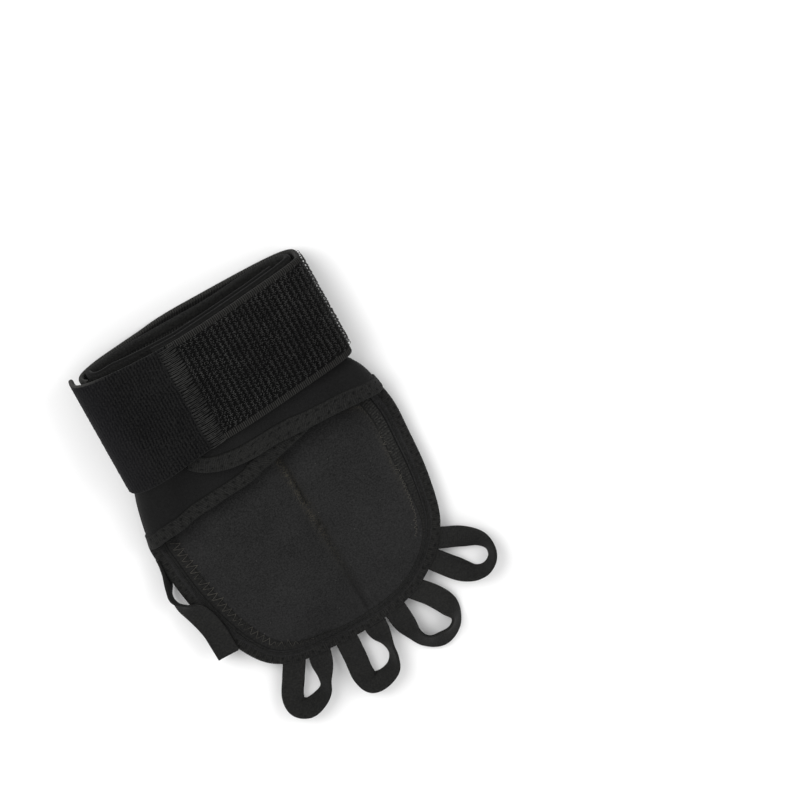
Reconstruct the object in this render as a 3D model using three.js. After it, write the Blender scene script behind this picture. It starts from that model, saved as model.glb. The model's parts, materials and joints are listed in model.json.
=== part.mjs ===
// Weighted training glove, right hand, lying palm side up on its back.
// Millimetres. +Z up, +Y towards the wrist, +X towards the little finger.
// The origin is on the flat underside of the back shell.
import * as THREE from 'three';
import { mergeVertices } from 'three/addons/utils/BufferGeometryUtils.js';

// Driving dimensions
const GAP = 0.35; // air between pieces that touch
const NEOPRENE = 2.5; // thickness of shell and wings
const TAPE = 2.2; // thickness of the wrist tape
const TAPE_WIDTH = 50;
const RIBBON = 1.2; // thickness of the finger ribbon
const RIBBON_WIDTH = 10;
const STRAP_NEAR = 54; // y of the strap's finger-side edge
const STRAP_FAR = STRAP_NEAR + TAPE_WIDTH;
const CUFF_FAR = STRAP_FAR + 0.8; // y of the cuff's wrist-end edge
const BINDING_WIDTH = 4.6;
const BINDING_HEIGHT = 5.4;
const EDGE_HEIGHT = 6.5; // mid height of the bound edge
const HEM_WIDTH = 7;
const HEM_THICKNESS = 3.4;
const RIM_WIDTH = 4.5;
const RIM_THICKNESS = 2.9;
const HIDDEN_EDGE = 1.6; // underside of the shell's end under the cuff
const FLAT_INSET = 18; // how far in from its edge the shell lies flat
const PAD_HIDDEN_INSET = 8; // how far the pad ends before the shell under the cuff
const CROWN = 16.5; // top of the pad over its underside's plane
const SEAM_DEPTH = 2.6; // valley of the pad's middle seam
const SEAM_REACH = 9; // half width of that valley
const BAR_WIDTH = 8;
const BAR_THICKNESS = 0.8;
const MIDDLE = new THREE.Vector2(-5, -4); // middle of the body in plan

// Outline of the bound body in plan, anticlockwise from the middle of its hidden end under the cuff
const BODY_OUTLINE = [
  { x: -5, y: 52 }, { x: -26, y: 50.5 }, { x: -46, y: 45 }, { x: -58, y: 35 },
  { x: -65.5, y: 18 }, { x: -65, y: 5 }, { x: -61.6, y: -19 }, { x: -53.6, y: -43 },
  { x: -45.7, y: -55 }, { x: -35, y: -61 }, { x: -17, y: -63.2 }, { x: 0, y: -63.4 },
  { x: 18.5, y: -60.7 }, { x: 30, y: -55.6 }, { x: 40, y: -47.5 }, { x: 48.2, y: -35.6 },
  { x: 53, y: -15 }, { x: 54.6, y: 5 }, { x: 54.8, y: 24 }, { x: 50, y: 39 },
  { x: 36, y: 47.5 }, { x: 16, y: 51 },
];
const LEFT_CORNER_Y = 21; // where the edge binding ends
const RIGHT_CORNER_Y = 30;

// The pad's middle seam in plan
const SEAM = [{ y: -64, x: 2.7 }, { y: -30, x: 2.4 }, { y: 8, x: 1 }, { y: 52, x: -1 }];

// Strap section: top and mid height across the glove
const STRAP_SECTION = [
  { x: -61, top: 37, middle: 20 }, { x: -12, top: 37, middle: 19 },
  { x: 29, top: 28.8, middle: 17.5 }, { x: 50, top: 25.5, middle: 17 },
];
const STRAP_LEFT = -61;
const STRAP_RIGHT = 50;
const TOP_POWER = 2.8; // roundness of the upper half, 2 is an ellipse
const FLOOR_POWER = 4.5; // the lower half is flatter, because it rests

// Inner end of the hook tape, inside the left turn: its outer face
const HOOK_INNER_END = [
  { x: -11, z: 0.3 }, { x: -18, z: 1.6 }, { x: -25, z: 3.9 }, { x: -36, z: 6.8 }, { x: -48, z: 10.6 },
  { x: -55.4, z: 16 }, { x: -56.6, z: 22 }, { x: -54.4, z: 27.6 },
];
const TAPE_JOINT_X = -18;
const VELOUR_START = 181.5; // degrees round the strap's section: its free end is on the left side

// Cuff sections from the hem to the wrist end: outer face of the right wing
const CUFF_ROWS = [
  { y: 14, left: -65.4, right: 54.8, middle: 10.6, top: 26.5, under: 4 },
  { y: 28, left: -63.6, right: 54.4, middle: 10.8, top: 28, under: 3.4 },
  { y: 42, left: -60.2, right: 51.6, middle: 11, top: 30.5, under: 0.8 },
  { y: 49, left: -57.6, right: 49, middle: 16, top: 32.8, under: 1.2 },
  { y: 53.4, left: -52.6, right: 46.3, middle: 18.2, top: 33.9, under: 3.1 },
  { y: 106, left: -52.6, right: 46.3, middle: 18.2, top: 33.9, under: 3.1 },
];

// Where the wings start across the glove, just outside the shell's hidden end
const BACK_EDGE = [
  { y: 20, left: -66, right: 56 }, { y: 31, left: -62, right: 56 }, { y: 36, left: -57.8, right: 54.5 },
  { y: 41, left: -52.4, right: 51.5 }, { y: 46, left: -45, right: 46 }, { y: 50, left: -29, right: 29.5 },
  { y: 52.2, left: -14, right: 8 }, { y: 53.2, left: -5.2, right: -4.6 },
];
const CUFF_POWER = 2.7;
const CUFF_SLOPE_FROM = -12; // the top falls to the right of here, as the strap's does
const CUFF_SLOPE = 0.23;
const CUFF_MIDDLE_SLOPE = 0.08; // its mid height falls too, so that the right side turns gently
const CUFF_RISE_FROM = -8; // the underside rises to the left of here, over the tape's inner end
const CUFF_RISE = 0.26;
const LIFT_LEFT = 12; // height of the underside at the wrist end, where the cuff sags towards its top
const LIFT_RIGHT = 3.1;
const LIFT_FROM = 66; // y where that lift starts
const LIFT_TO = 100;
const LAYER_DROP = NEOPRENE + 1.4; // the left wing lies this far below the right one
const DROP_FROM = -50; // x where the left wing starts to dip under the flap
const DROP_TO = -40;

// Lower edges of the wings
const LEFT_HEM_EDGE = [
  { x: -65, y: 16.4 }, { x: -55, y: 20.9 }, { x: -31, y: 24.7 }, { x: -7.6, y: 27.4 },
  { x: 13.8, y: 33.4 }, { x: 25, y: 37 },
];
const RIGHT_HEM_EDGE = [
  { x: -38, y: 48.5 }, { x: -34, y: 42.6 }, { x: -26, y: 39 }, { x: -10, y: 37.5 },
  { x: 10, y: 37.6 }, { x: 35, y: 35.8 }, { x: 46, y: 33.6 }, { x: 55, y: 30.6 },
];
const HEM_START_Y = 20; // y of the lower edges at the body's side, at their middle and at their flap's end
const HEM_MIDDLE_Y = 34;
const HEM_END_Y = 40;
const LEFT_WING_END = 66; // degrees round the section from +X
const RIGHT_WING_END = 118;
const RIGHT_WING_END_FAR = 108; // at the wrist end

// Ribbon loops: middle line and lean, in degrees from flat, of each finger's loop
const LOOPS = {
  thumb_loop: [
    { x: -66.2, y: 9.5, z: 6.6, lean: -90 }, { x: -66.1, y: 4, z: 6.6, lean: -90 },
    { x: -67.4, y: -3, z: 6.8, lean: -74 }, { x: -67, y: -9, z: 7.8, lean: -60 },
    { x: -63.8, y: -15, z: 9.9, lean: -28 }, { x: -60.4, y: -20.5, z: 10.6, lean: -6 },
    { x: -59, y: -28, z: 10.5, lean: -3 }, { x: -58.6, y: -35, z: 10.4, lean: -5 },
    { x: -58.4, y: -42, z: 10, lean: -8 },
  ],
  index_loop: [
    { x: -36.2, y: -61.6, z: 6.5, lean: 0 }, { x: -39.4, y: -67.5, z: 5.4, lean: 2 },
    { x: -43, y: -74.4, z: 5, lean: 12 }, { x: -41.6, y: -80, z: 5, lean: 36 },
    { x: -36.6, y: -81.4, z: 5, lean: 52 }, { x: -31, y: -80.2, z: 5, lean: 62 },
    { x: -27.4, y: -76.6, z: 5, lean: 76 }, { x: -26.2, y: -71.6, z: 5.2, lean: 56 },
    { x: -25, y: -67.2, z: 5.8, lean: 18 }, { x: -24.2, y: -63.6, z: 6.5, lean: 0 },
  ],
  middle_loop: [
    { x: -11.6, y: -63.9, z: 6.5, lean: 0 }, { x: -12, y: -73, z: 5.2, lean: 2 },
    { x: -12, y: -81, z: 5, lean: 14 }, { x: -9.5, y: -86.2, z: 5, lean: 45 },
    { x: -4.5, y: -87, z: 5, lean: 62 }, { x: 0, y: -83.6, z: 5, lean: 66 },
    { x: 2.6, y: -79.2, z: 5, lean: 78 }, { x: 2.9, y: -74, z: 5.2, lean: 70 },
    { x: 2.4, y: -69, z: 5.8, lean: 30 }, { x: 2.1, y: -64, z: 6.5, lean: 0 },
  ],
  ring_loop: [
    { x: 12.8, y: -63.4, z: 6.5, lean: 0 }, { x: 13.4, y: -69.5, z: 5.4, lean: -14 },
    { x: 15, y: -75.6, z: 5, lean: -48 }, { x: 18.4, y: -81, z: 5, lean: -46 },
    { x: 24.4, y: -83.6, z: 5, lean: -34 }, { x: 30.4, y: -82, z: 5, lean: -50 },
    { x: 33.6, y: -77.6, z: 5, lean: -58 }, { x: 32.8, y: -71.6, z: 5, lean: -24 },
    { x: 29.4, y: -65, z: 5.4, lean: -6 }, { x: 25.2, y: -59.2, z: 6.5, lean: 0 },
  ],
  little_loop: [
    { x: 37.6, y: -51, z: 6.5, lean: 0 }, { x: 42.2, y: -57.6, z: 5.4, lean: 8 },
    { x: 46.4, y: -62.8, z: 5, lean: 40 }, { x: 50.6, y: -66, z: 5, lean: 68 },
    { x: 55.2, y: -66.6, z: 5, lean: 82 }, { x: 59.4, y: -64, z: 5, lean: 84 },
    { x: 60.9, y: -59.4, z: 5, lean: 72 }, { x: 58.6, y: -53, z: 5, lean: 38 },
    { x: 52.4, y: -47.8, z: 5.6, lean: 8 }, { x: 45.2, y: -43.8, z: 6.5, lean: 0 },
  ],
};

// Rows along each piece
const AROUND_BODY = 56;
const RINGS = 8;
const ALONG_BINDING = 44;
const BINDING_SIDES = 8;
const ROUND_WING = 22;
const ALONG_WING = 9;
const ALONG_LOOP = 22;

const COLOURS = {
  neoprene: 0x232324, jersey: 0x272626, binding: 0x262626, velour: 0x1b1b1d,
  hooks: 0x1f1f20, ribbon: 0x222223, thread: 0x2b2b2c,
};

const mix = THREE.MathUtils.lerp;
const smooth = (value, from, to) => THREE.MathUtils.smoothstep(value, from, to);

// Linear reading of a short table by one of its columns
function read(rows, key, at, column) {
  const next = rows.findIndex((row) => row[key] >= at);
  if (next === -1) return rows[rows.length - 1][column];
  if (next === 0) return rows[0][column];
  const [low, high] = [rows[next - 1], rows[next]];
  return mix(low[column], high[column], (at - low[key]) / (high[key] - low[key]));
}

// Closed body from numbered corners and faces, turned right way out
function solid(corners, faces) {
  const geometry = new THREE.BufferGeometry();
  geometry.setAttribute('position', new THREE.Float32BufferAttribute(corners.flatMap((p) => [p.x, p.y, p.z]), 3));
  let volume = 0;
  for (const [a, b, c] of faces) {
    volume += corners[a].dot(corners[b].clone().cross(corners[c]));
  }
  const outward = volume < 0 ? faces.map(([a, b, c]) => [a, c, b]) : faces;
  geometry.setIndex(outward.flat());
  const merged = mergeVertices(geometry, 1e-3);
  merged.computeVertexNormals();
  return merged;
}

// Sheet with a thickness: surface(u, v) is its outer face, depth(v) its thickness, under it
function sheet(surface, depth, across, along, raise = () => 0) {
  const step = 1e-3;
  const outer = [];
  const inner = [];
  for (let i = 0; i <= across; i += 1) {
    for (let j = 0; j <= along; j += 1) {
      const u = i / across;
      const v = j / along;
      const [u0, v0] = [Math.min(u, 1 - step), Math.min(v, 1 - step)];
      const du = surface(u0 + step, v0).sub(surface(u0, v0));
      const dv = surface(u0, v0 + step).sub(surface(u0, v0));
      const normal = du.cross(dv).normalize();
      const point = surface(u, v).addScaledVector(normal, raise(u, v));
      outer.push(point);
      inner.push(point.clone().addScaledVector(normal, -depth(u, v)));
    }
  }
  const row = along + 1;
  const count = outer.length;
  const faces = [];
  for (let i = 0; i < across; i += 1) {
    for (let j = 0; j < along; j += 1) {
      const a = i * row + j;
      const [b, c, d] = [a + row, a + row + 1, a + 1];
      faces.push([a, b, c], [a, c, d]);
      faces.push([a + count, c + count, b + count], [a + count, d + count, c + count]);
    }
  }
  const wall = (a, b) => faces.push([a, a + count, b + count], [a, b + count, b]);
  for (let i = 0; i < across; i += 1) {
    wall(i * row, (i + 1) * row);
    wall((i + 1) * row + along, i * row + along);
  }
  for (let j = 0; j < along; j += 1) {
    wall(j + 1, j);
    wall(across * row + j, across * row + j + 1);
  }
  return solid([...outer, ...inner], faces);
}

// Body outline as a closed curve, and its points moved in by a distance
const outlineCurve = new THREE.CatmullRomCurve3(
  BODY_OUTLINE.map((row) => new THREE.Vector3(row.x, row.y, 0)), true, 'centripetal',
);

function outlinePoint(share, inset) {
  const point = outlineCurve.getPointAt(share % 1);
  const tangent = outlineCurve.getTangentAt(share % 1);
  return new THREE.Vector2(point.x - tangent.y * inset, point.y + tangent.x * inset);
}

// Lens between two height functions inside an outline: rings shrink towards the body's middle
function lens(hiddenInset, top, bottom) {
  const corners = [];
  for (const height of [top, bottom]) {
    for (let ring = 0; ring < RINGS; ring += 1) {
      const share = (ring / RINGS) ** 1.4;
      for (let k = 0; k < AROUND_BODY; k += 1) {
        const hidden = smooth(outlinePoint(k / AROUND_BODY, 0).y, 32, 42);
        const edge = outlinePoint(k / AROUND_BODY, mix(BINDING_WIDTH + GAP, hiddenInset, hidden));
        const plan = edge.clone().lerp(MIDDLE, share);
        corners.push(new THREE.Vector3(plan.x, plan.y, height(plan, plan.distanceTo(edge))));
      }
    }
    corners.push(new THREE.Vector3(MIDDLE.x, MIDDLE.y, height(MIDDLE, Infinity)));
  }
  const count = RINGS * AROUND_BODY + 1;
  const faces = [];
  for (let k = 0; k < AROUND_BODY; k += 1) {
    const next = (k + 1) % AROUND_BODY;
    for (const [side, flip] of [[0, false], [count, true]]) {
      const add = (a, b, c) => faces.push(flip ? [a + side, c + side, b + side] : [a + side, b + side, c + side]);
      for (let ring = 0; ring < RINGS - 1; ring += 1) {
        const [a, b] = [ring * AROUND_BODY + k, ring * AROUND_BODY + next];
        add(a, b, b + AROUND_BODY);
        add(a, b + AROUND_BODY, a + AROUND_BODY);
      }
      const last = (RINGS - 1) * AROUND_BODY;
      add(last + k, last + next, count - 1);
    }
    faces.push([k, k + count, next + count], [k, next + count, next]);
  }
  return solid(corners, faces);
}

// Heights of the shell and the pad, from the distance to their own edge
const wristFall = (y) => smooth(y, 28, 50);
const shellUnder = (plan, inside) => {
  const edge = mix(EDGE_HEIGHT - BINDING_HEIGHT / 2 + 0.1, HIDDEN_EDGE, wristFall(plan.y));
  return edge * (1 - smooth(inside, 0, FLAT_INSET)) ** 1.5;
};
const shellTop = (plan, inside) => shellUnder(plan, inside) + NEOPRENE;
const padUnder = (plan, inside) => shellTop(plan, inside) + GAP;
const padTop = (plan, inside) => {
  const edge = padUnder(plan, 0) + 2;
  const rise = 1 - (1 - Math.min(inside / 46, 1)) ** 2.6;
  const seam = read(SEAM, 'y', plan.y, 'x');
  const valley = SEAM_DEPTH * (1 - smooth(Math.abs(plan.x - seam), 0, SEAM_REACH)) * smooth(inside, 2, 14);
  return mix(edge, CROWN, rise) - valley;
};

// Rounded tape along the body's edge, from corner to corner
function edgeBinding() {
  const shares = [];
  const steps = 400;
  for (let k = 0; k <= steps; k += 1) {
    const share = k / steps;
    const point = outlineCurve.getPointAt(share);
    const limit = point.x < MIDDLE.x ? LEFT_CORNER_Y : RIGHT_CORNER_Y;
    if (point.y <= limit) shares.push(share);
  }
  const [from, to] = [shares[0], shares[shares.length - 1]];
  const corners = [];
  for (let k = 0; k <= ALONG_BINDING; k += 1) {
    const share = mix(from, to, k / ALONG_BINDING);
    for (let side = 0; side < BINDING_SIDES; side += 1) {
      const angle = ((side + 0.5) / BINDING_SIDES) * 2 * Math.PI;
      const out = Math.sign(Math.cos(angle)) * Math.abs(Math.cos(angle)) ** 0.6;
      const up = Math.sign(Math.sin(angle)) * Math.abs(Math.sin(angle)) ** 0.6;
      const plan = outlinePoint(share, (1 - out) * BINDING_WIDTH / 2);
      corners.push(new THREE.Vector3(plan.x, plan.y, EDGE_HEIGHT + up * BINDING_HEIGHT / 2));
    }
  }
  const faces = [];
  for (let k = 0; k < ALONG_BINDING; k += 1) {
    for (let side = 0; side < BINDING_SIDES; side += 1) {
      const next = (side + 1) % BINDING_SIDES;
      const [a, b] = [k * BINDING_SIDES + side, k * BINDING_SIDES + next];
      faces.push([a, a + BINDING_SIDES, b + BINDING_SIDES], [a, b + BINDING_SIDES, b]);
    }
  }
  const last = ALONG_BINDING * BINDING_SIDES;
  for (let side = 1; side < BINDING_SIDES - 1; side += 1) {
    faces.push([0, side, side + 1], [last, last + side + 1, last + side]);
  }
  return solid(corners, faces);
}

// Rounded oval: how far out and up it is at an angle, each from -1 to 1
function oval(degrees, power) {
  const angle = THREE.MathUtils.degToRad(degrees);
  const out = Math.sign(Math.cos(angle)) * Math.abs(Math.cos(angle)) ** (2 / power);
  const up = Math.sign(Math.sin(angle)) * Math.abs(Math.sin(angle)) ** (2 / power);
  return { out, up };
}

// Point of the cuff's section at a place along the glove and an angle from +X; drop lowers the left wing
function cuffPoint(y, degrees, drop) {
  const row = {};
  for (const column of ['left', 'right', 'middle', 'top', 'under']) {
    row[column] = read(CUFF_ROWS, 'y', y, column);
  }
  const { out, up } = oval(degrees, CUFF_POWER);
  const x = mix(row.left, row.right, (1 + out) / 2);
  const tight = smooth(y, 36, STRAP_NEAR);
  const beyond = Math.max(0, x - CUFF_SLOPE_FROM);
  const top = row.top - tight * CUFF_SLOPE * beyond;
  const middle = row.middle - smooth(y, 48, STRAP_NEAR) * CUFF_MIDDLE_SLOPE * beyond;
  const flat = row.under + tight * CUFF_RISE * Math.max(0, CUFF_RISE_FROM - x);
  const lifted = Math.max(flat, mix(LIFT_LEFT, LIFT_RIGHT, smooth(x, 0, 42)));
  const under = mix(flat, lifted, smooth(y, LIFT_FROM, LIFT_TO));
  const z = up > 0 ? mix(middle, top, up) : mix(middle, Math.min(under, middle), -up);
  const lowered = up > 0 ? drop * smooth(x, DROP_FROM, DROP_TO) * smooth(up, 0.2, 0.8) : 0;
  return new THREE.Vector3(x, y, z - lowered);
}

// Angle where a wing starts: at the body's side by the hem, at the middle of the back past the body
function wingStart(y, side) {
  const left = read(CUFF_ROWS, 'y', y, 'left');
  const right = read(CUFF_ROWS, 'y', y, 'right');
  const x = read(BACK_EDGE, 'y', y, side < 0 ? 'left' : 'right');
  const out = THREE.MathUtils.clamp((2 * (x - left)) / (right - left) - 1, -1, 1);
  const angle = THREE.MathUtils.radToDeg(Math.acos(Math.sign(out) * Math.abs(out) ** (CUFF_POWER / 2)));
  return side < 0 ? 360 - angle : -angle;
}

function wingEnd(y, side) {
  const far = smooth(y, STRAP_NEAR - 4, CUFF_FAR);
  return side < 0 ? LEFT_WING_END : mix(RIGHT_WING_END, RIGHT_WING_END_FAR, far);
}

// Lower edge of a wing at a share of its way round
function hemEdge(share, side) {
  const reach = mix(wingStart(HEM_START_Y, side), wingEnd(HEM_END_Y, side), share);
  const { x } = cuffPoint(HEM_MIDDLE_Y, reach, 0);
  return read(side < 0 ? LEFT_HEM_EDGE : RIGHT_HEM_EDGE, 'x', x, 'y');
}

// Places along the glove at a distance from a wing's lower edge and from its wrist end
const fromHem = (distance) => (share, side) => hemEdge(share, side) + distance;
const fromWrist = (distance) => () => CUFF_FAR - distance;

// Strip of a wing between two of those places
function wingStrip(side, from, to, thickness, along) {
  const surface = (u, v) => {
    const y = mix(from(u, side), to(u, side), v);
    const angle = mix(wingStart(y, side), wingEnd(y, side), u);
    return cuffPoint(y, angle, side < 0 ? LAYER_DROP : 0);
  };
  const depth = (u, v) => thickness * (thickness === NEOPRENE ? 1 : 0.55 + 0.45 * Math.sin(Math.PI * v));
  const raise = (u, v) => (depth(u, v) - NEOPRENE) / 2;
  const outward = side < 0 ? surface : (u, v) => surface(u, 1 - v);
  return sheet(outward, depth, ROUND_WING, along, raise);
}

// Outer face of the wrist tape at an angle from +X
function strapPoint(degrees) {
  const { out, up } = oval(degrees, degrees > 180 || degrees < 0 ? FLOOR_POWER : TOP_POWER);
  const x = mix(STRAP_LEFT, STRAP_RIGHT, (1 + out) / 2);
  const middle = read(STRAP_SECTION, 'x', x, 'middle');
  const top = read(STRAP_SECTION, 'x', x, 'top');
  return new THREE.Vector2(x, up > 0 ? mix(middle, top, up) : middle * (1 + up));
}

// Angle where the tape's top or floor side passes a place across the glove
function strapAngle(x, upper) {
  const out = (2 * (x - STRAP_LEFT)) / (STRAP_RIGHT - STRAP_LEFT) - 1;
  const power = upper ? TOP_POWER : FLOOR_POWER;
  const angle = THREE.MathUtils.radToDeg(Math.acos(Math.sign(out) * Math.abs(out) ** (power / 2)));
  return upper ? angle : 360 - angle;
}

// Tape whose outer face follows a path in x and z, over the strap's width
function tape(points, thickness, across) {
  const curve = new THREE.CatmullRomCurve3(
    points.map((p) => new THREE.Vector3(p.x, 0, p.y)), false, 'centripetal',
  );
  const surface = (u, v) => {
    const point = curve.getPointAt(u);
    return new THREE.Vector3(point.x, mix(STRAP_FAR, STRAP_NEAR, v), point.z);
  };
  return sheet(surface, () => thickness, across, 1);
}

function arc(from, to, steps) {
  return Array.from({ length: steps + 1 }, (_, k) => strapPoint(mix(from, to, k / steps)));
}

function velourTape() {
  const to = strapAngle(TAPE_JOINT_X - GAP / 2, true);
  return tape(arc(VELOUR_START, to, 18).reverse(), TAPE, 22);
}

function hookTape() {
  const from = strapAngle(TAPE_JOINT_X + GAP, true);
  const to = -90;
  const end = HOOK_INNER_END.map((row) => new THREE.Vector2(row.x, row.z));
  return tape([...arc(from, to, 24), ...end].reverse(), TAPE, 44);
}

// Bar of satin stitches over the joint of the two tapes
function strapSeam() {
  const from = strapAngle(TAPE_JOINT_X - BAR_WIDTH / 2, true);
  const to = strapAngle(TAPE_JOINT_X + BAR_WIDTH / 2, true);
  const points = arc(from, to, 4).map((p) => p.clone().add(new THREE.Vector2(0, GAP + BAR_THICKNESS)));
  return tape(points.reverse(), BAR_THICKNESS, 4);
}

// Flat ribbon along a table of places, leaning as the table says
function ribbon(rows) {
  const curve = new THREE.CatmullRomCurve3(
    rows.map((row) => new THREE.Vector3(row.x, row.y, row.z)), false, 'centripetal',
  );
  const up = new THREE.Vector3(0, 0, 1);
  const surface = (u, v) => {
    const share = Math.min(Math.max(u, 0), 1);
    const at = curve.getUtoTmapping(share, null) * (rows.length - 1);
    const low = Math.min(Math.floor(at), rows.length - 2);
    const lean = THREE.MathUtils.degToRad(mix(rows[low].lean, rows[low + 1].lean, at - low));
    const tangent = curve.getTangentAt(share);
    const side = tangent.clone().cross(up).normalize();
    const width = side.multiplyScalar(Math.cos(lean)).addScaledVector(up, Math.sin(lean));
    const across = tangent.clone().cross(width).normalize();
    return curve.getPointAt(share)
      .addScaledVector(width, (v - 0.5) * RIBBON_WIDTH)
      .addScaledVector(across, RIBBON / 2);
  };
  return sheet(surface, () => RIBBON, ALONG_LOOP, 2);
}

const glove = new THREE.Group();

function add(name, geometry, finish, roughness = 0.9) {
  const material = new THREE.MeshStandardMaterial({ color: COLOURS[finish], roughness, metalness: 0 });
  const mesh = new THREE.Mesh(geometry, material);
  mesh.name = name;
  glove.add(mesh);
}

add('back_shell', lens(2 * GAP, shellTop, shellUnder), 'neoprene');
add('weight_pad', lens(PAD_HIDDEN_INSET, padTop, padUnder), 'jersey');
add('edge_binding', edgeBinding(), 'binding');
for (const [name, side] of [['left', -1], ['right', 1]]) {
  const [start, end] = [fromHem(HEM_WIDTH + 2 * GAP), fromWrist(RIM_WIDTH + GAP)];
  add(`${name}_wing`, wingStrip(side, start, end, NEOPRENE, ALONG_WING), 'neoprene');
  add(`${name}_hem`, wingStrip(side, fromHem(0), fromHem(HEM_WIDTH), HEM_THICKNESS, 3), 'binding');
  add(`${name}_rim`, wingStrip(side, fromWrist(RIM_WIDTH), fromWrist(0), RIM_THICKNESS, 2), 'binding');
}
add('wrist_strap', velourTape(), 'velour', 1);
add('hook_tape', hookTape(), 'hooks', 0.8);
add('strap_seam', strapSeam(), 'thread', 0.7);
for (const [name, rows] of Object.entries(LOOPS)) {
  add(name, ribbon(rows), 'ribbon', 0.7);
}

export default glove;
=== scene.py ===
"""Weighted training glove, right hand, lying on its back with the palm side up.

Tables and functions are in millimetres in the part's frame: +X towards the little finger, +Y towards the
wrist, +Z up, with the origin on the flat underside. make() turns millimetres into metres.
"""

import json
import math

import bpy
import numpy as np
from mathutils import Matrix, Vector

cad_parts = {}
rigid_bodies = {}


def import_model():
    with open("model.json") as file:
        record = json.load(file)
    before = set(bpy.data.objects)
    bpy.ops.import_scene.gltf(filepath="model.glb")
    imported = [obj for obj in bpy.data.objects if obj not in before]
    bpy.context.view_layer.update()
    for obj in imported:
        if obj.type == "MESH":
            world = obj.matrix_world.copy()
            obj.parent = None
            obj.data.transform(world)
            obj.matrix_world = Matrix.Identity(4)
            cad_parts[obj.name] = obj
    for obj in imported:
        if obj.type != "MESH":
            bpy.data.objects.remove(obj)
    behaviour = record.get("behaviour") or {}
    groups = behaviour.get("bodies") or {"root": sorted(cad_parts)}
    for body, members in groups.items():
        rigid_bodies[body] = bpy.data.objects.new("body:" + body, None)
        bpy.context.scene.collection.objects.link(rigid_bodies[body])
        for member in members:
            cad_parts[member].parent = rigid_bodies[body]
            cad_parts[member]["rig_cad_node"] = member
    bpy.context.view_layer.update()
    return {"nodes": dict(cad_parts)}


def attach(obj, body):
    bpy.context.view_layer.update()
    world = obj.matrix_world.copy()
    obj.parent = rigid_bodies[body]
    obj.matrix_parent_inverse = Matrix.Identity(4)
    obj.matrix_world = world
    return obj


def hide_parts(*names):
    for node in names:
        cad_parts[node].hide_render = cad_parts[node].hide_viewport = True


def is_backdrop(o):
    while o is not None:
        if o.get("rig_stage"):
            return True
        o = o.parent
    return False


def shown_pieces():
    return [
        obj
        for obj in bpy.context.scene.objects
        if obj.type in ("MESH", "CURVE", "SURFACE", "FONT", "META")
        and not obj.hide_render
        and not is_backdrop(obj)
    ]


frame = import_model()
random = np.random.default_rng(7)


def table(columns, *rows):
    """Table with named columns: a dict from each name to its column as an array."""
    return dict(zip(columns.split(), np.array(rows, float).T))


# Driving dimensions, the same as the part's
GAP = 0.35
NEOPRENE = 2.5
TAPE = 2.2
TAPE_WIDTH = 50
RIBBON = 1.2
RIBBON_WIDTH = 10
STRAP_NEAR = 54
STRAP_FAR = STRAP_NEAR + TAPE_WIDTH
CUFF_FAR = STRAP_FAR + 0.8
BINDING_WIDTH = 4.6
BINDING_HEIGHT = 5.4
EDGE_HEIGHT = 6.5
HEM_WIDTH = 7
HEM_THICKNESS = 3.4
RIM_WIDTH = 4.5
RIM_THICKNESS = 2.9
HIDDEN_EDGE = 1.6
FLAT_INSET = 18
PAD_HIDDEN_INSET = 8
CROWN = 16.5
SEAM_DEPTH = 2.6
MOST_BLOWN = 2.5
MIDDLE = np.array([-5.0, -4.0])

# Outline of the bound body in plan, anticlockwise from the middle of its hidden end under the cuff
BODY_OUTLINE = table(
    "x y",
    (-5, 52), (-26, 50.5), (-46, 45), (-58, 35), (-65.5, 18), (-65, 5), (-61.6, -19), (-53.6, -43),
    (-45.7, -55), (-35, -61), (-17, -63.2), (0, -63.4), (18.5, -60.7), (30, -55.6), (40, -47.5),
    (48.2, -35.6), (53, -15), (54.6, 5), (54.8, 24), (50, 39), (36, 47.5), (16, 51),
)
LEFT_CORNER_Y = 21
RIGHT_CORNER_Y = 30

# The pad's middle seam in plan
SEAM = table("y x", (-64, 2.7), (-30, 2.4), (8, 1), (52, -1))

# Strap section: top and mid height across the glove
STRAP_SECTION = table("x top middle", (-61, 37, 20), (-12, 37, 19), (29, 28.8, 17.5), (50, 25.5, 17))
STRAP_LEFT = -61
STRAP_RIGHT = 50
TOP_POWER = 2.8
FLOOR_POWER = 4.5

# Inner end of the hook tape, inside the left turn: its outer face
HOOK_INNER_END = table(
    "x z",
    (-11, 0.3), (-18, 1.6), (-25, 3.9), (-36, 6.8), (-48, 10.6), (-55.4, 16), (-56.6, 22), (-54.4, 27.6),
)
TAPE_JOINT_X = -18
VELOUR_START = 181.5
BAR_WIDTH = 8
BAR_PITCH = 0.74

# Cuff sections from the hem to the wrist end: outer face of the right wing
CUFF_ROWS = table(
    "y left right middle top under",
    (14, -65.4, 54.8, 10.6, 26.5, 4), (28, -63.6, 54.4, 10.8, 28, 3.4), (42, -60.2, 51.6, 11, 30.5, 0.8),
    (49, -57.6, 49, 16, 32.8, 1.2), (53.4, -52.6, 46.3, 18.2, 33.9, 3.1), (106, -52.6, 46.3, 18.2, 33.9, 3.1),
)
# Where each wing starts at the back: at the body's side by the hem, at the middle past the body
BACK_EDGE = table(
    "y left right",
    (20, -66, 56), (31, -62, 56), (36, -57.8, 54.5), (41, -52.4, 51.5), (46, -45, 46), (50, -29, 29.5),
    (52.2, -14, 8), (53.2, -4.9, -4.9),
)
CUFF_POWER = 2.7
# How much lower the left wing's top lies, under the right wing
LAYER_DROP = NEOPRENE + 1.4

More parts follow.
